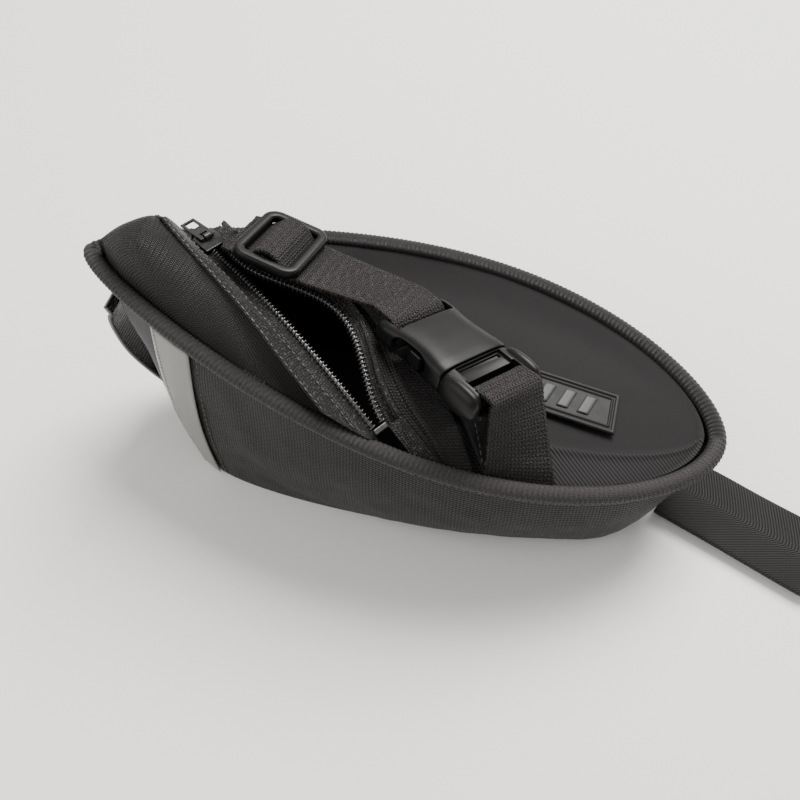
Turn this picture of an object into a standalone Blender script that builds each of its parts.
"""A wedge-shaped saddle bag with an open zip, a buckled rail strap and a seatpost strap.

Metres, +Z up. +X runs from the pointed rear tip to the seatpost end, and the bag lies on its flat bottom.
The origin is on the underside of the bottom panel, halfway along the top outline.
"""

import math

import bmesh
import bpy
from mathutils import Matrix, Vector

# Top outline and walls
LENGTH = 0.188
HALF_WIDTH = 0.038
REAR_HEIGHT = 0.0665
FRONT_HEIGHT = 0.031
EDGE_RISE = 0.0020
BOTTOM_HALF_LENGTH = 0.0705
BOTTOM_CENTRE_X = 0.0035
BOTTOM_HALF_WIDTH = 0.0255
BOTTOM_BELLY = 0.26
BOTTOM_POWER = 7.0
BOTTOM_TAPER = 0.10
WALL_BULGE = 0.0032
FABRIC = 0.0015
GAP = 0.0003
SEAM_U = 0.242

# Crown of the top, behind and in front of the zip
REAR_CROWN = 0.0092
FRONT_CROWN = 0.0004
CROWN_FADE = 0.021
CROWN_FULL_WIDTH = 0.014
TIP_CROWN = 0.0040
TIP_CROWN_X = -0.080
TIP_CROWN_REACH = 0.016
PIPING_RADIUS = 0.0017
PANEL_INSET = 0.0022
END_MARGIN = 0.022

# Zip: from the near piping at ZIP_NEAR_T to the far piping at ZIP_FAR_T, as fractions of the length
ZIP_NEAR_T = 0.527
ZIP_FAR_T = 0.117
ZIP_INSET = 0.0045
ZIP_SAGITTA = 0.0070
COIL_RADIUS = 0.0009
COIL_OFFSET = 0.00135
TAPE_INNER = 0.0026
TAPE_OUTER = 0.0054
TAPE_THICKNESS = 0.0006
PANEL_OFFSET = 0.0058
MOUTH_GAP = 0.0115
MOUTH_LIFT = -0.20
MOUTH_WIDEST = 0.42
MOUTH_END = 0.78
LIP_NEAR_X = 0.033
LIP_FAR_X = -0.046
LIP_BULGE = 0.012
LIP_TUCK = 0.0110
LIP_THICKNESS = 0.0011
LIP_FADE = 0.0045
SLIDER_REST = 0.935
SLIDER_NEAR = 0.085
SLIDER_SIZE = (0.0084, 0.0072)
SLIDER_PLATE = 0.0006
POST_HALF = 0.00022
PIN_X = -0.0006
PIN_Z = 0.0026
BAIL_RADIUS = 0.0011
BAIL_WIDTH = 0.0018
BAIL_HOLE = 0.0006
PULLER_LENGTH = 0.0130
PULLER_THICKNESS = 0.00056
PULLER_DROOP = 7.0

# Straps and hardware
WEBBING_WIDTH = 0.020
NEAR_SEWN_X = 0.04425
NEAR_SEWN_SPREAD = 0.00975
FAR_SEWN_X = -0.0520
FAR_SEWN_SPREAD = 0.0090
WEBBING = 0.0013
WRAP_RADIUS = 0.0038
STRAP_CLEARANCE = 0.0018
SLIDER_HEADROOM = 0.0053
BUCKLE_PLACE = (0.0240, -0.0118, 0.0597)
BUCKLE_AXIS = (0.830, -0.555, 0.030)
BUCKLE_ROLL = -18.0
BUCKLE_WIDTH = 0.0255
BUCKLE_THICKNESS = 0.0090
FEMALE_LENGTH = 0.0265
MALE_LENGTH = 0.0125
ADJUSTER_PLACE = (-0.0368, 0.0098, 0.0722)
ADJUSTER_AXIS = (0.967, -0.150, -0.190)
ADJUSTER_ROLL = -14.0
ADJUSTER_WIDTH = 0.0248
ADJUSTER_LENGTH = 0.0200
ADJUSTER_THICKNESS = 0.0026
LOOP_TOP_V = 0.22
LOOP_BOTTOM_V = 0.86
LOOP_FLAT = 0.07
LOOP_WIDTH = 0.017
LOOP_RISE = 0.0062
LOOP_THICKNESS = 0.0014
POST_STRAP_START = (0.0870, 0.0006, 0.0020)
POST_STRAP_HEADING = -22.0
POST_STRAP_LENGTH = 0.0505
TAB_THICKNESS = 0.0012
POST_STRAP_WIDTH = 0.0240
LABEL_SIZE = (0.040, 0.014, 0.0012)
LABEL_CENTRE = (0.0450, -0.0035)

BAG_MIDDLE = Vector((0.0, 0.0, 0.025))
FAR_BELOW = Vector((0.0, 0.0, -2.0))

parts = bpy.data.collections.new("saddle_bag")
cutters = bpy.data.collections.new("cutters")


def clear_scene():
    for thing in list(bpy.data.objects):
        bpy.data.objects.remove(thing, do_unlink=True)
    bpy.context.scene.collection.children.link(parts)
    bpy.context.scene.collection.children.link(cutters)


def material(name, colour, roughness, metallic=0.0):
    made = bpy.data.materials.new(name)
    made.use_nodes = True
    surface = made.node_tree.nodes["Principled BSDF"]
    surface.inputs["Base Color"].default_value = (*colour, 1.0)
    surface.inputs["Roughness"].default_value = roughness
    surface.inputs["Metallic"].default_value = metallic
    return made


# ---------------------------------------------------------------- shape of the bag


def half_width(t):
    return HALF_WIDTH * math.sin(math.pi * t**1.36) ** 0.54


def edge_height(t):
    return REAR_HEIGHT + (FRONT_HEIGHT - REAR_HEIGHT) * t + EDGE_RISE * math.sin(math.pi * t)


def fraction(x):
    return min(max(x / LENGTH + 0.5, 0.001), 0.999)


def ring(u, inset=0.0):
    """The top edge: u runs from -1 (front, near side) through 0 (rear tip) to +1 (front, far side)."""
    t = (1.0 - math.cos(math.pi * abs(u))) / 2.0
    side = math.copysign(1.0, u)
    x = LENGTH * (t - 0.5) * (1.0 - 4.4 * inset / LENGTH)
    y = side * half_width(min(t, 1.0)) * (1.0 - inset / HALF_WIDTH)
    return Vector((x, y, edge_height(t)))


def ring_half_width(x, inset):
    stretch = 1.0 - 4.4 * inset / LENGTH
    return half_width(fraction(x / stretch)) * (1.0 - inset / HALF_WIDTH)


def bottom_loop(u, inset=0.0):
    """The bottom edge, a rounded oblong with the same u as the top edge."""
    angle = math.pi * abs(u)
    side = math.copysign(1.0, u)
    total = abs(math.cos(angle)) ** BOTTOM_POWER + abs(math.sin(angle)) ** BOTTOM_POWER
    radius = total ** (-1.0 / BOTTOM_POWER)
    across = radius * math.sin(angle)
    along = -radius * math.cos(angle)
    x = BOTTOM_CENTRE_X + (BOTTOM_HALF_LENGTH - inset) * along
    widened = (1.0 - BOTTOM_TAPER * along) * (1.0 + BOTTOM_BELLY * (1.0 - along**2))
    y = side * (BOTTOM_HALF_WIDTH - inset) * across * widened
    return Vector((x, y, 0.0))


def wall(u, v, out=0.0):
    """A point on the walls: v runs from 0 at the top edge to 1 at the bottom edge."""
    place = ring(u).lerp(bottom_loop(u), v)
    normal = Vector((place.x / 0.085**2, place.y / 0.033**2, 0.0))
    if abs(u) < SEAM_U:
        normal.y *= 0.35
    normal.normalize()
    return place + normal * (WALL_BULGE * math.sin(math.pi * v) + out)


def base_height(x, y):
    """The top panels before they are fitted to the zip."""
    t = fraction(x)
    width = half_width(t)
    eta = min(abs(y) / ring_half_width(x, PANEL_INSET), 1.0)
    across = zip_across(x, y)
    crown = REAR_CROWN
    if across > 0.0:
        crown = FRONT_CROWN + (REAR_CROWN - FRONT_CROWN) * math.exp(-((across / CROWN_FADE) ** 2))
    crown += TIP_CROWN * math.exp(-(((x - TIP_CROWN_X) / TIP_CROWN_REACH) ** 2))
    crown *= min(1.0, width / CROWN_FULL_WIDTH)
    return edge_height(t) + crown * (1.0 - eta**2.3) ** 0.8


ZIP_A = ring(-math.acos(1.0 - 2.0 * ZIP_NEAR_T) / math.pi, ZIP_INSET)
ZIP_B = ring(math.acos(1.0 - 2.0 * ZIP_FAR_T) / math.pi, ZIP_INSET)
ZIP_LINE = Vector((ZIP_B.x - ZIP_A.x, ZIP_B.y - ZIP_A.y, 0.0))
ZIP_SPAN = ZIP_LINE.length
ZIP_ALONG = ZIP_LINE.normalized()
ZIP_FRONT = Vector((ZIP_ALONG.y, -ZIP_ALONG.x, 0.0))


def zip_across(x, y):
    """Signed distance from the zip's vertical plane, positive towards the seatpost end."""
    return (x - ZIP_A.x) * ZIP_FRONT.x + (y - ZIP_A.y) * ZIP_FRONT.y


def zip_fraction(x, y):
    along = (x - ZIP_A.x) * ZIP_ALONG.x + (y - ZIP_A.y) * ZIP_ALONG.y
    return min(max(along / ZIP_SPAN, 0.0), 1.0)


# The zip lies on one arc in that plane, so the slider can run along it about the arc's axis.
ZIP_START = Vector((ZIP_A.x, ZIP_A.y, base_height(ZIP_A.x, ZIP_A.y)))
ZIP_END = Vector((ZIP_B.x, ZIP_B.y, base_height(ZIP_B.x, ZIP_B.y)))
ZIP_CHORD = ZIP_END - ZIP_START
ZIP_UP = ZIP_FRONT.cross(ZIP_CHORD).normalized()
if ZIP_UP.z < 0.0:
    ZIP_UP = -ZIP_UP
ZIP_RADIUS = ((ZIP_CHORD.length / 2.0) ** 2 + ZIP_SAGITTA**2) / (2.0 * ZIP_SAGITTA)
ZIP_CENTRE = (ZIP_START + ZIP_END) / 2.0 - ZIP_UP * (ZIP_RADIUS - ZIP_SAGITTA)
ZIP_HALF_ANGLE = math.asin(ZIP_CHORD.length / 2.0 / ZIP_RADIUS)


def zip_point(s):
    """On the zip's arc: s is 0 at the near end and 1 at the far end."""
    angle = (2.0 * s - 1.0) * ZIP_HALF_ANGLE
    along = ZIP_CHORD.normalized()
    return ZIP_CENTRE + ZIP_RADIUS * (along * math.sin(angle) + ZIP_UP * math.cos(angle))


def arc_height(s):
    """Height of the arc above the point at fraction s of the plan line."""
    low, high = 0.0, 1.0
    for _ in range(40):
        middle = (low + high) / 2.0
        place = zip_point(middle)
        along = (place.x - ZIP_A.x) * ZIP_ALONG.x + (place.y - ZIP_A.y) * ZIP_ALONG.y
        if along < s * ZIP_SPAN:
            low = middle
        else:
            high = middle
    return zip_point(low).z


def top_height(x, y):
    """The outer face of the closed top."""
    s = zip_fraction(x, y)
    on_line = ZIP_A + ZIP_ALONG * (s * ZIP_SPAN)
    fit = arc_height(s) - base_height(on_line.x, on_line.y)
    return base_height(x, y) + fit * math.exp(-((zip_across(x, y) / 0.011) ** 2))


def on_top(x, y, lift=0.0):
    return Vector((x, y, top_height(x, y) + lift))


def line_point(s, across):
    """Plan point at fraction s of the zip's line and a distance in front of it."""
    return ZIP_A + ZIP_ALONG * (s * ZIP_SPAN) + ZIP_FRONT * across


def line_ends(across, inset):
    """Where a line parallel to the zip meets the top outline drawn in by inset."""
    ends = []
    for outside in (-0.45, 1.35):
        inside = 0.5
        far = outside
        for _ in range(40):
            middle = (inside + far) / 2.0
            place = line_point(middle, across)
            if abs(place.x) < LENGTH / 2.0 and abs(place.y) < ring_half_width(place.x, inset):
                inside = middle
            else:
                far = middle
        ends.append(inside)
    return ends


def loop_parameter(x, inset):
    t = min(max(x / (LENGTH * (1.0 - 4.4 * inset / LENGTH)) + 0.5, 0.0), 1.0)
    return math.acos(1.0 - 2.0 * t) / math.pi


def mouth_weight(s):
    """How far the mouth stands open along its length: 0 at both ends, 1 at its widest place."""
    t = s / MOUTH_WIDEST if s < MOUTH_WIDEST else (MOUTH_END - s) / (MOUTH_END - MOUTH_WIDEST)
    t = min(max(t, 0.0), 1.0)
    return t * t * (3.0 - 2.0 * t)


MOUTH_MOVE = (ZIP_FRONT + Vector((0.0, 0.0, MOUTH_LIFT))) * MOUTH_GAP


def open_height(x, y):
    """The outer face of the open top: the closed top, with the mouth's front edge laid over it."""
    s = zip_fraction(x, y)
    weight = mouth_weight(s)
    edge = line_point(s, TAPE_OUTER + MOUTH_GAP * weight)
    row_height = arc_height(s) + MOUTH_MOVE.z * weight + TAPE_THICKNESS / 2.0
    beyond = zip_across(x, y) - TAPE_OUTER - MOUTH_GAP * weight
    if beyond <= 0.0:
        return max(top_height(x, y), row_height)
    step = row_height - top_height(edge.x, edge.y)
    return top_height(x, y) + step * math.exp(-beyond / LIP_FADE)


# ---------------------------------------------------------------- makers


def add_object(name, mesh, look, collection=parts):
    made = bpy.data.objects.new(name, mesh)
    collection.objects.link(made)
    mesh.materials.clear()
    if look is not None:
        mesh.materials.append(look)
    return made


def sheet_mesh(name, rows):
    """A quad sheet through rows of points."""
    shape = bmesh.new()
    grid = [[shape.verts.new(point) for point in row] for row in rows]
    for row, following in zip(grid, grid[1:]):
        for left, right, over_right, over_left in zip(row, row[1:], following[1:], following):
            shape.faces.new((left, right, over_right, over_left))
    mesh = bpy.data.meshes.new(name)
    shape.to_mesh(mesh)
    shape.free()
    return mesh


def facing(rows, inside):
    """Positive where the rows' own normals point away from the inside."""
    total = 0.0
    for row, following in zip(rows, rows[1:]):
        for a, b, c in zip(row, row[1:], following):
            total += (b - a).cross(c - a).dot(a - inside)
    return total


def sheet(name, rows, thickness, look, inside=BAG_MIDDLE):
    """A sheet whose thickness goes from the rows' own surface towards the inside point."""
    if facing(rows, inside) < 0.0:
        rows = [list(reversed(row)) for row in rows]
    made = add_object(name, sheet_mesh(name, rows), look)
    solid = made.modifiers.new("thickness", "SOLIDIFY")
    solid.thickness = thickness
    solid.offset = -1.0
    solid.use_even_offset = False
    made.data.shade_smooth()
    return made


def tube(name, points, radius, look, closed=False, resolution=1):
    curve = bpy.data.curves.new(name, "CURVE")
    curve.dimensions = "3D"
    line = curve.splines.new("POLY")
    line.points.add(len(points) - 1)
    for knot, point in zip(line.points, points):
        knot.co = (*point, 1.0)
    line.use_cyclic_u = closed
    curve.bevel_depth = radius
    curve.bevel_resolution = resolution
    curve.use_fill_caps = not closed
    made = bpy.data.objects.new(name, curve)
    parts.objects.link(made)
    curve.materials.append(look)
    return made


def block_mesh(name, low, high, round_by=0.0, segments=2):
    """A box between two corners, in local axes, with rounded edges."""
    shape = bmesh.new()
    bmesh.ops.create_cube(shape, size=1.0)
    low, high = Vector(low), Vector(high)
    size = high - low
    middle = (low + high) / 2.0
    for vertex in shape.verts:
        vertex.co = Vector((vertex.co.x * size.x, vertex.co.y * size.y, vertex.co.z * size.z)) + middle
    if round_by > 0.0:
        bmesh.ops.bevel(
            shape, geom=list(shape.edges), offset=round_by, segments=segments, affect="EDGES", profile=0.5
        )
    mesh = bpy.data.meshes.new(name)
    shape.to_mesh(mesh)
    shape.free()
    return mesh


def cylinder_mesh(name, centre, axis, radius, length, sides=16):
    shape = bmesh.new()
    bmesh.ops.create_cone(
        shape, cap_ends=True, segments=sides, radius1=radius, radius2=radius, depth=length
    )
    turn = Vector((0.0, 0.0, 1.0)).rotation_difference(Vector(axis)).to_matrix().to_4x4()
    bmesh.ops.transform(shape, matrix=Matrix.Translation(Vector(centre)) @ turn, verts=shape.verts)
    mesh = bpy.data.meshes.new(name)
    shape.to_mesh(mesh)
    shape.free()
    return mesh


def hidden(name, mesh, place):
    made = add_object(name, mesh, None, cutters)
    made.matrix_world = place
    made.hide_render = True
    made.display_type = "WIRE"
    return made


def combine(body, other, operation):
    step = body.modifiers.new(operation.lower(), "BOOLEAN")
    step.operation = operation
    step.object = other


def solid(name, mesh, place, look, cut=(), join=()):
    """A solid in the local axes of place, with cutters taken away and other shapes joined on."""
    made = add_object(name, mesh, look)
    made.matrix_world = place
    for index, shape in enumerate(join):
        combine(made, hidden(f"{name}_join_{index}", shape, place), "UNION")
    for index, shape in enumerate(cut):
        combine(made, hidden(f"{name}_cut_{index}", shape, place), "DIFFERENCE")
    return made


def axes(place, along, roll_degrees=0.0):
    """A local frame: x along a direction, z as near to up as it can be, then rolled about x."""
    x = Vector(along).normalized()
    y = Vector((0.0, 0.0, 1.0)).cross(x).normalized()
    z = x.cross(y)
    turn = Matrix((x, y, z)).transposed().to_4x4()
    roll = Matrix.Rotation(math.radians(roll_degrees), 4, "X")
    return Matrix.Translation(Vector(place)) @ turn @ roll


def lerp_rows(first, last, count):
    return [[a.lerp(b, i / (count - 1)) for a, b in zip(first, last)] for i in range(count)]


def steps(low, high, count):
    return [low + (high - low) * i / (count - 1) for i in range(count)]


# ---------------------------------------------------------------- panels


def make_walls(coarse, smooth):
    columns = 26
    rows = 8
    rear_u = steps(-SEAM_U + 0.004, SEAM_U - 0.004, 15)
    side_u = steps(SEAM_U + 0.004, 0.9975, columns)

    def rows_for(u_values, out=0.0):
        made = []
        for j in range(rows):
            row = []
            for u in u_values:
                height = edge_height((1.0 - math.cos(math.pi * abs(u))) / 2.0)
                top = 0.0025 / height
                bottom = 1.0 - 0.0004 / height
                row.append(wall(u, top + (bottom - top) * j / (rows - 1), out))
            made.append(row)
        return made

    sheet("rear_panel", rows_for(rear_u), FABRIC, smooth)
    sheet("side_panel_left", rows_for(side_u), FABRIC, coarse)
    sheet("side_panel_right", rows_for([-u for u in side_u]), FABRIC, coarse)


def make_reflectors(silver):
    for name, side in (("reflector_left", 1.0), ("reflector_right", -1.0)):
        made = []
        for v in steps(0.06, 0.985, 9):
            width = 0.062 - 0.034 * v
            start = SEAM_U - 0.002
            made.append([wall(side * (start + width * k / 3.0), v, GAP + 0.0004) for k in range(4)])
        sheet(name, made, 0.0004, silver)


def make_bottom(coarse, board):
    outline = [bottom_loop(u, 0.0024) for u in steps(-1.0, 1.0, 61)[:-1]]
    for name, low, thickness, inset, look in (
        ("bottom_panel", 0.0, FABRIC, 0.0, coarse),
        ("bottom_stiffener", FABRIC + GAP, 0.0012, 0.05, board),
    ):
        flat = bpy.data.curves.new(name, "CURVE")
        flat.dimensions = "2D"
        flat.fill_mode = "BOTH"
        flat.extrude = thickness / 2.0
        line = flat.splines.new("POLY")
        line.points.add(len(outline) - 1)
        for knot, point in zip(line.points, outline):
            knot.co = (point.x * (1.0 - inset), point.y * (1.0 - inset), 0.0, 1.0)
        line.use_cyclic_u = True
        made = bpy.data.objects.new(name, flat)
        parts.objects.link(made)
        flat.materials.append(look)
        made.location = (0.0, 0.0, low + thickness / 2.0)


def ring_at(x, side, inset):
    """The plan point of the top edge at a given x, on the near (-1) or far (+1) side."""
    return ring(side * loop_parameter(x, inset), inset)


def lip_seam(s, forward=0.0, inset=PANEL_INSET):
    """The front top panel's rear edge, bowed forward between the near and the far outline."""
    near = ring_at(LIP_NEAR_X + forward, -1.0, inset)
    far = ring_at(LIP_FAR_X + forward, 1.0, inset)
    return near.lerp(far, s) + ZIP_FRONT * (LIP_BULGE * math.sin(math.pi * s))


def top_patch(name, inner, ends, side, lift, thickness, look, inset, rows):
    """A top panel between a plan line and the outline behind (-1) or in front (+1) of it."""
    u_near = loop_parameter(ends[0].x, inset)
    u_far = loop_parameter(ends[1].x, inset)
    if side < 0.0:
        outer = [ring(u, inset) for u in steps(-u_near, u_far, len(inner))]
    else:
        around = steps(-u_near, u_far - 2.0, len(inner))
        outer = [ring(u if u >= -1.0 else u + 2.0, inset) for u in around]
    made = []
    for row in lerp_rows(inner, outer, rows):
        made.append([on_top(point.x, point.y, lift) for point in row])
    return sheet(name, made, thickness, look)


def make_top(coarse, smooth, board):
    near, far = line_ends(-PANEL_OFFSET, PANEL_INSET)
    ends = [line_point(near, -PANEL_OFFSET), line_point(far, -PANEL_OFFSET)]
    margin = END_MARGIN * (far - near)
    behind = [line_point(s, -PANEL_OFFSET) for s in steps(near + margin, far - margin, 30)]
    top_patch("rear_top_panel", behind, ends, -1.0, 0.0, FABRIC, coarse, PANEL_INSET, 9)
    seam = [lip_seam(s) for s in steps(END_MARGIN, 1.0 - END_MARGIN, 30)]
    ends = [lip_seam(0.0), lip_seam(1.0)]
    top_patch("front_top_panel", seam, ends, 1.0, 0.0, FABRIC, smooth, PANEL_INSET, 9)
    forward = LIP_TUCK + 0.004
    edge = [lip_seam(s, forward, 0.006) for s in steps(END_MARGIN, 1.0 - END_MARGIN, 20)]
    ends = [lip_seam(0.0, forward, 0.006), lip_seam(1.0, forward, 0.006)]
    top_patch("top_stiffener", edge, ends, 1.0, -FABRIC - GAP, 0.0012, board, 0.006, 6)


def make_piping(twill):
    us = [0.0, 0.055, 0.085, 0.115, 0.15, 0.19]
    us += steps(0.235, 0.86, 22)
    us += [0.895, 0.925, 0.955, 0.982]
    points = [ring(-u) for u in reversed(us)] + [ring(u) for u in us[1:]]
    tube("top_piping", points, PIPING_RADIUS, twill, closed=True, resolution=2)


# ---------------------------------------------------------------- zip


def row_line(across, count, low=0.0, high=1.0, open_by=0.0):
    """Points along the zip's arc, offset in front of it, with the mouth's opening added."""
    made = []
    for s in steps(low, high, count):
        place = zip_point(s) + ZIP_FRONT * across
        made.append(place + MOUTH_MOVE * (open_by * mouth_weight(s)))
    return made


def make_tape(name, side, look):
    """A tape beside its coil, cut off at the piping at both ends."""
    open_by = 1.0 if side > 0.0 else 0.0
    edges = []
    for across in (TAPE_INNER, TAPE_OUTER):
        near, far = line_ends(side * across, PANEL_INSET + 0.0006)
        near = max(near, 0.0)
        far = min(far, 1.0)
        edges.append(row_line(side * across, 26, near, far, open_by))
    rows = lerp_rows(edges[0], edges[1], 3)
    rows = [[point + Vector((0.0, 0.0, TAPE_THICKNESS / 2.0)) for point in row] for row in rows]
    return sheet(name, rows, TAPE_THICKNESS, look)


def make_zip(tape_look, coil_look, metal, coarse):
    make_tape("zipper_tape_rear", -1.0, tape_look)
    make_tape("zipper_tape_front", 1.0, tape_look)
    tube("zipper_coil_rear", row_line(-COIL_OFFSET, 30, 0.035, 0.975), COIL_RADIUS, coil_look)
    tube("zipper_coil_front", row_line(COIL_OFFSET, 30, 0.035, 0.975, 1.0), COIL_RADIUS, coil_look)
    make_lip(coarse)
    for name, s in (("zip_end_stop_near", 0.016), ("zip_end_stop_far", 0.992)):
        clip = block_mesh(name, (-0.0008, -0.0022, -0.0010), (0.0008, 0.0022, 0.0010), 0.0003)
        solid(name, clip, zip_frame(s), metal)
    make_slider(metal)


def make_lip(look):
    """The fabric in front of the zip; its front margin lies loose under the front top panel."""
    count = 26
    inner = TAPE_OUTER + 3.0 * GAP
    near, far = line_ends(inner, PANEL_INSET + 0.001)
    along_zip = steps(max(near, 0.0) + 0.012, min(far, 1.0) - 0.012, count)
    zip_side = [line_point(s, inner + MOUTH_GAP * mouth_weight(s)) for s in along_zip]
    seam = [lip_seam(s, -0.001) for s in steps(0.03, 0.97, count)]
    tuck = [lip_seam(s, LIP_TUCK, 0.005) for s in steps(0.03, 0.97, count)]
    rows = []
    for q in (0.0, 0.2, 0.4, 0.6, 0.8, 0.97, 1.0, 1.5, 2.0):
        sunk = FABRIC + 2.0 * GAP if q > 0.9 else 0.0
        row = []
        for k in range(count):
            plan = zip_side[k].lerp(seam[k], q) if q <= 1.0 else seam[k].lerp(tuck[k], q - 1.0)
            height = open_height if q <= 0.9 else top_height
            row.append(Vector((plan.x, plan.y, height(plan.x, plan.y) - sunk)))
        rows.append(row)
    return sheet("mouth_lip", rows, LIP_THICKNESS, look)


def zip_frame(s):
    """Local frame on the arc: x towards the near end, y in front, z outwards."""
    place = zip_point(s)
    z = (place - ZIP_CENTRE).normalized()
    y = ZIP_FRONT
    x = y.cross(z).normalized()
    turn = Matrix((x, y, z)).transposed().to_4x4()
    return Matrix.Translation(place) @ turn


def make_slider(metal):
    """Two plates joined by a thin post, with a low bail on top that holds the puller's end bar."""
    place = zip_frame(SLIDER_REST)
    long, wide = SLIDER_SIZE[0] / 2.0, SLIDER_SIZE[1] / 2.0
    inside = COIL_RADIUS + GAP
    top = inside + SLIDER_PLATE
    solid(
        "zip_slider",
        block_mesh("zip_slider", (-long, -wide, inside), (long, wide, top), 0.00025),
        place,
        metal,
        join=(
            block_mesh("lower", (-long, -wide, -top), (long, wide, -inside), 0.00025),
            block_mesh("post", (0.0014, -POST_HALF, -inside - 0.0003), (0.0038, POST_HALF, inside + 0.0003)),
            cylinder_mesh("arch", (PIN_X, 0.0, PIN_Z), (0.0, 1.0, 0.0), BAIL_RADIUS, BAIL_WIDTH, 20),
            block_mesh(
                "foot",
                (PIN_X - BAIL_RADIUS, -BAIL_WIDTH / 2.0, inside + 0.0003),
                (PIN_X + BAIL_RADIUS, BAIL_WIDTH / 2.0, PIN_Z),
            ),
        ),
        cut=(cylinder_mesh("hole", (PIN_X, 0.0, PIN_Z), (0.0, 1.0, 0.0), BAIL_HOLE, 0.004, 20),),
    )
    droop = Matrix.Rotation(math.radians(-PULLER_DROOP), 4, "Y")
    pin = Matrix.Translation(Vector((PIN_X, 0.0, PIN_Z)))
    half = PULLER_THICKNESS / 2.0
    tail = -PULLER_LENGTH
    solid(
        "zip_puller",
        block_mesh("zip_puller", (tail, -0.0024, -half), (half, 0.0024, half), 0.0001, 1),
        place @ pin @ droop,
        metal,
        cut=(
            block_mesh("window", (-0.0028, -0.0012, -0.004), (-half, 0.0012, 0.004)),
            block_mesh("grip", (tail + 0.0012, -0.0015, -0.004), (tail + 0.0060, 0.0015, 0.004)),
        ),
    )


# ---------------------------------------------------------------- rail strap


def smooth_line(points, count):
    """A Catmull-Rom curve through a few points."""
    points = [Vector(p) for p in points]
    points = [points[0] * 2.0 - points[1]] + points + [points[-1] * 2.0 - points[-2]]
    made = []
    spans = len(points) - 3
    for i in range(count):
        place = spans * i / (count - 1)
        k = min(int(place), spans - 1)
        f = place - k
        a, b, c, d = points[k : k + 4]
        made.append(
            0.5
            * (
                2.0 * b
                + (c - a) * f
                + (2.0 * a - 5.0 * b + 4.0 * c - d) * f * f
                + (3.0 * b - 3.0 * c + d - a) * f**3
            )
        )
    return made


def bar_wrap(bar_x, run_out, direction, turns=8):
    """Side view of webbing that comes in above a bar, goes round its far side and returns below."""
    made = [(bar_x - direction * run_out, WRAP_RADIUS)]
    for k in range(turns + 1):
        angle = math.pi / 2.0 - math.pi * k / turns
        made.append((bar_x + direction * WRAP_RADIUS * math.cos(angle), WRAP_RADIUS * math.sin(angle)))
    made.append((bar_x - direction * 0.6 * run_out, -WRAP_RADIUS))
    return made


def clear_of_top(line):
    """Lifts a line of webbing off the open top, and higher over the zip, where the slider runs under it."""
    for point in line:
        beside = (abs(zip_across(point.x, point.y)) - SLIDER_SIZE[1] / 2.0 - 0.001) / 0.004
        over_zip = 1.0 - min(max(beside, 0.0), 1.0)
        clearance = STRAP_CLEARANCE + (SLIDER_HEADROOM - STRAP_CLEARANCE) * over_zip
        point.z = max(point.z, open_height(point.x, point.y) + WEBBING + clearance)
    return line


def make_buckle(plastic):
    place = axes(BUCKLE_PLACE, BUCKLE_AXIS, BUCKLE_ROLL)
    half = BUCKLE_WIDTH / 2.0
    thick = BUCKLE_THICKNESS / 2.0
    female_bar = -FEMALE_LENGTH + 0.0018
    solid(
        "buckle_female",
        block_mesh("buckle_female", (-FEMALE_LENGTH, -half, -thick), (0.0, half, thick), 0.0020, 3),
        place,
        plastic,
        cut=(
            block_mesh("cavity", (-0.0185, -0.0103, -0.0026), (0.0100, 0.0103, 0.0026)),
            block_mesh("windows", (-0.0180, -0.0300, -0.0029), (-0.0075, 0.0300, 0.0029)),
            block_mesh("slot", (-0.0232, -0.0104, -0.0200), (-0.0192, 0.0104, 0.0200)),
            block_mesh("end_above", (-0.0400, -0.0104, 0.0016), (-0.0212, 0.0104, 0.0200)),
            block_mesh("end_below", (-0.0400, -0.0104, -0.0200), (-0.0212, 0.0104, -0.0016)),
        ),
    )
    base = block_mesh("buckle_male", (GAP, -half, -0.0040), (MALE_LENGTH, half, 0.0040), 0.0022, 3)
    solid(
        "buckle_male",
        base,
        place,
        plastic,
        join=(block_mesh("tongue", (-0.0140, -0.0020, -0.0016), (0.0030, 0.0020, 0.0016), 0.0004),),
        cut=(
            block_mesh("male_above", (0.0058, -0.0104, 0.0015), (0.0400, 0.0104, 0.0200)),
            block_mesh("male_below", (0.0058, -0.0104, -0.0200), (0.0400, 0.0104, -0.0015)),
            block_mesh("male_slot", (0.0058, -0.0104, -0.0200), (0.0092, 0.0104, 0.0200)),
            block_mesh("male_face", (0.0003, -0.0085, 0.0028), (0.0400, 0.0085, 0.0200)),
        ),
    )
    for name, side in (("prong_left", 1.0), ("prong_right", -1.0)):
        arm = prong_mesh(name, side)
        solid(name, arm, place, plastic)
    return place, female_bar


def prong_mesh(name, side):
    """A springy arm with a barbed end: an outline across the buckle, given a height."""
    inner = [(-0.0172, 0.0078), (-0.0160, 0.0062), (-0.0080, 0.0072), (0.0, 0.0068)]
    outer = [(0.0, 0.0094), (-0.0076, 0.0098), (-0.0085, 0.0124), (-0.0120, 0.0122), (-0.0158, 0.0098)]
    outline = inner + outer
    shape = bmesh.new()
    loop = [shape.verts.new((x, side * y, -0.0019)) for x, y in outline]
    face = shape.faces.new(loop)
    raised = bmesh.ops.extrude_face_region(shape, geom=[face])
    top = [item for item in raised["geom"] if isinstance(item, bmesh.types.BMVert)]
    bmesh.ops.translate(shape, vec=(0.0, 0.0, 0.0038), verts=top)
    bmesh.ops.recalc_face_normals(shape, faces=shape.faces)
    mesh = bpy.data.meshes.new(name)
    shape.to_mesh(mesh)
    shape.free()
    return mesh


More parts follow.
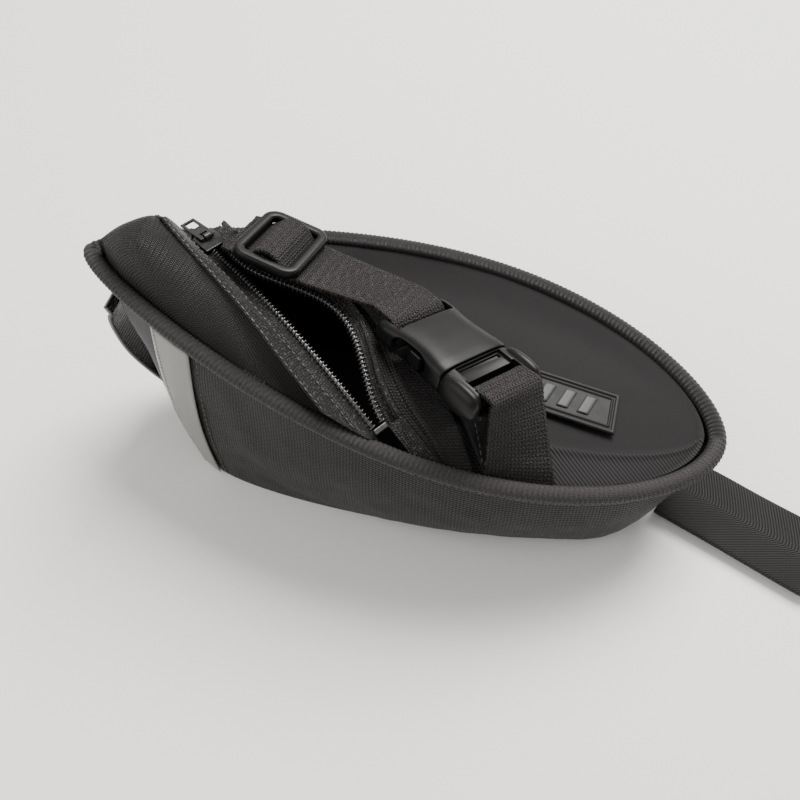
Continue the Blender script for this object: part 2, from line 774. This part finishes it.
def make_rail_strap(place, female_bar, webbing, plastic):
    half = WEBBING_WIDTH / 2.0 - 0.0004
    male_bar = MALE_LENGTH - 0.0017
    lines = (-1.0, -0.5, 0.0, 0.5, 1.0)

    # near piece: sewn in the near piping, round the male body's bar and back underneath
    wrap = bar_wrap(male_bar, 0.0050, -1.0)
    rows = []
    for side in lines:
        sewn = ring(-loop_parameter(NEAR_SEWN_X + NEAR_SEWN_SPREAD * side, 0.0), 0.0030)
        local = [place @ Vector((x, side * half, z)) for x, z in wrap]
        run = smooth_line([sewn, sewn.lerp(local[0], 0.5), local[0]], 7)[:-1]
        rows.append(clear_of_top(run) + local)
    sheet("rail_strap_near", rows, WEBBING, webbing, FAR_BELOW)

    # far piece: sewn in the far piping, through the adjuster, round the female body's bar
    adjuster = axes(ADJUSTER_PLACE, ADJUSTER_AXIS, ADJUSTER_ROLL)
    wrap = bar_wrap(female_bar, 0.0060, 1.0)
    through = [(-0.0130, -0.0017), (-0.0100, -0.0018), (-0.0076, -0.0019), (-0.0050, 0.0002)]
    through += [(-0.0026, 0.0024), (0.0, 0.0031)]
    through += [(-x, z) for x, z in reversed(through[:-1])]
    rows = []
    for side in lines:
        sewn = ring(loop_parameter(FAR_SEWN_X + FAR_SEWN_SPREAD * side, 0.0), 0.0030)
        local = [adjuster @ Vector((x, side * half, z)) for x, z in through]
        end = [place @ Vector((x, side * half, z)) for x, z in wrap]
        line = clear_of_top(smooth_line([sewn, sewn.lerp(local[0], 0.5), local[0]], 7)[:-1])
        line += local[:-1]
        line += clear_of_top(smooth_line([local[-1], local[-1].lerp(end[0], 0.5), end[0]], 9)[:-1])
        rows.append(line + end)
    sheet("rail_strap_far", rows, WEBBING, webbing, FAR_BELOW)

    half = ADJUSTER_WIDTH / 2.0
    long = ADJUSTER_LENGTH / 2.0
    slot = (long - 0.0026, 0.0012)
    solid(
        "strap_adjuster",
        block_mesh(
            "strap_adjuster",
            (-long, -half, -ADJUSTER_THICKNESS / 2.0),
            (long, half, ADJUSTER_THICKNESS / 2.0),
        ),
        adjuster,
        plastic,
        cut=(
            block_mesh("slot_rear", (-slot[0], -0.0104, -0.02), (-slot[1], 0.0104, 0.02)),
            block_mesh("slot_front", (slot[1], -0.0104, -0.02), (slot[0], 0.0104, 0.02)),
        ),
    )
    return adjuster


# ---------------------------------------------------------------- trim and seatpost strap


def surface_patch(name, low, high, lift, thickness, look, columns=8, rows=4):
    """A patch that lies on the front top panel."""
    made = []
    for y in steps(low[1], high[1], rows):
        made.append([on_top(x, y, lift + thickness) for x in steps(low[0], high[0], columns)])
    return sheet(name, made, thickness, look)


def make_label(rubber):
    half = (LABEL_SIZE[0] / 2.0, LABEL_SIZE[1] / 2.0)
    x, y = LABEL_CENTRE
    low = (x - half[0], y - half[1])
    high = (x + half[0], y + half[1])
    surface_patch("label_patch", low, high, GAP, LABEL_SIZE[2], rubber)
    low = (x + 0.0035, y - 0.0034)
    high = (x + half[0] - 0.0035, y + 0.0034)
    surface_patch("label_emblem", low, high, LABEL_SIZE[2] + 2.0 * GAP, 0.0005, rubber, 4, 3)


def loop_line(y, low, high, count, lift):
    """Points on the rear panel's middle, raised square to its slope, for a given across position."""
    foot = wall(0.0, low)
    head = wall(0.0, high)
    slope = (head - foot).normalized()
    out = Vector((slope.z, 0.0, -slope.x))
    if out.x > 0.0:
        out = -out
    made = []
    for v in steps(low, high, count):
        place = wall(0.0, v)
        made.append(Vector((place.x, y, place.z)) + out * lift((v - low) / (high - low)))
    return made, out


def make_light_loop(rubber, thread):
    """A loop for a rear light: flat where it is sewn at both ends, standing off in between."""

    def rise(q):
        q = (q - LOOP_FLAT) / (1.0 - 2.0 * LOOP_FLAT)
        arched = LOOP_RISE * math.sin(math.pi * min(max(q, 0.0), 1.0)) ** 0.6
        return LOOP_THICKNESS + GAP + 0.0004 + arched

    rows = []
    for y in (-LOOP_WIDTH / 2.0, 0.0, LOOP_WIDTH / 2.0):
        line, out = loop_line(y, LOOP_TOP_V, LOOP_BOTTOM_V, 19, rise)
        rows.append(line)
    sheet("light_loop", rows, LOOP_THICKNESS, rubber)
    for name, v in (("loop_tack_upper", LOOP_TOP_V + 0.022), ("loop_tack_lower", LOOP_BOTTOM_V - 0.022)):
        along = (wall(0.0, v + 0.01) - wall(0.0, v - 0.01)).normalized()
        across = Vector((0.0, 1.0, 0.0))
        turn = Matrix((along, across, along.cross(across))).transposed().to_4x4()
        outward = 1.0 if along.cross(across).dot(out) > 0.0 else -1.0
        low = LOOP_THICKNESS + 2.0 * GAP + 0.0004
        heights = sorted((outward * low, outward * (low + 0.0007)))
        shape = block_mesh(name, (-0.0009, -0.0072, heights[0]), (0.0009, 0.0072, heights[1]), 0.0002)
        solid(name, shape, Matrix.Translation(wall(0.0, v)) @ turn, thread)


def make_post_strap(webbing, hook, coarse):
    place = Matrix.Translation(Vector(POST_STRAP_START)) @ Matrix.Rotation(
        math.radians(POST_STRAP_HEADING), 4, "Z"
    )
    half = POST_STRAP_WIDTH / 2.0
    strap = block_mesh("post_strap", (0.0003, -half, -0.0003), (POST_STRAP_LENGTH, half, 0.0013), 0.0004)
    solid("post_strap", strap, place, webbing)
    edge = 0.001
    low = (0.0100, -half + edge, -0.0019)
    high = (POST_STRAP_LENGTH - edge, half - edge, -0.0006)
    pad = block_mesh("post_strap_hook", low, high)
    solid("post_strap_hook", pad, place, hook)
    tab = []
    around = [0.93, 0.948, 0.965, 0.982, 0.9975]
    for u in [-u for u in around] + around[::-1]:
        tab.append([wall(u, v, TAB_THICKNESS + 2.0 * GAP) for v in steps(0.50, 0.84, 6)])
    sheet("post_strap_tab", tab, TAB_THICKNESS, coarse)


def main():
    clear_scene()
    coarse = material("coarse_polyester", (0.020, 0.019, 0.019), 0.75)
    smooth = material("smooth_polyester", (0.022, 0.022, 0.025), 0.70)
    twill = material("piping_twill", (0.022, 0.020, 0.020), 0.80)
    tape = material("zipper_tape", (0.016, 0.015, 0.015), 0.85)
    coil = material("zipper_coil", (0.018, 0.017, 0.017), 0.35)
    metal = material("zip_metal", (0.030, 0.030, 0.030), 0.40, 0.6)
    webbing = material("webbing", (0.020, 0.019, 0.019), 0.80)
    plastic = material("buckle_plastic", (0.025, 0.025, 0.025), 0.35)
    silver = material("reflective_tape", (0.45, 0.44, 0.41), 0.35)
    rubber = material("label_rubber", (0.050, 0.050, 0.050), 0.55)
    board = material("stiffener_board", (0.10, 0.10, 0.10), 0.60)
    hook = material("hook_tape", (0.020, 0.020, 0.020), 0.90)
    thread = material("bar_tack_thread", (0.030, 0.030, 0.030), 0.80)

    make_walls(coarse, smooth)
    make_reflectors(silver)
    make_bottom(coarse, board)
    make_top(coarse, smooth, board)
    make_piping(twill)
    make_zip(tape, coil, metal, coarse)
    place, female_bar = make_buckle(plastic)
    make_rail_strap(place, female_bar, webbing, plastic)
    make_label(rubber)
    make_light_loop(rubber, thread)
    make_post_strap(webbing, hook, coarse)


main()
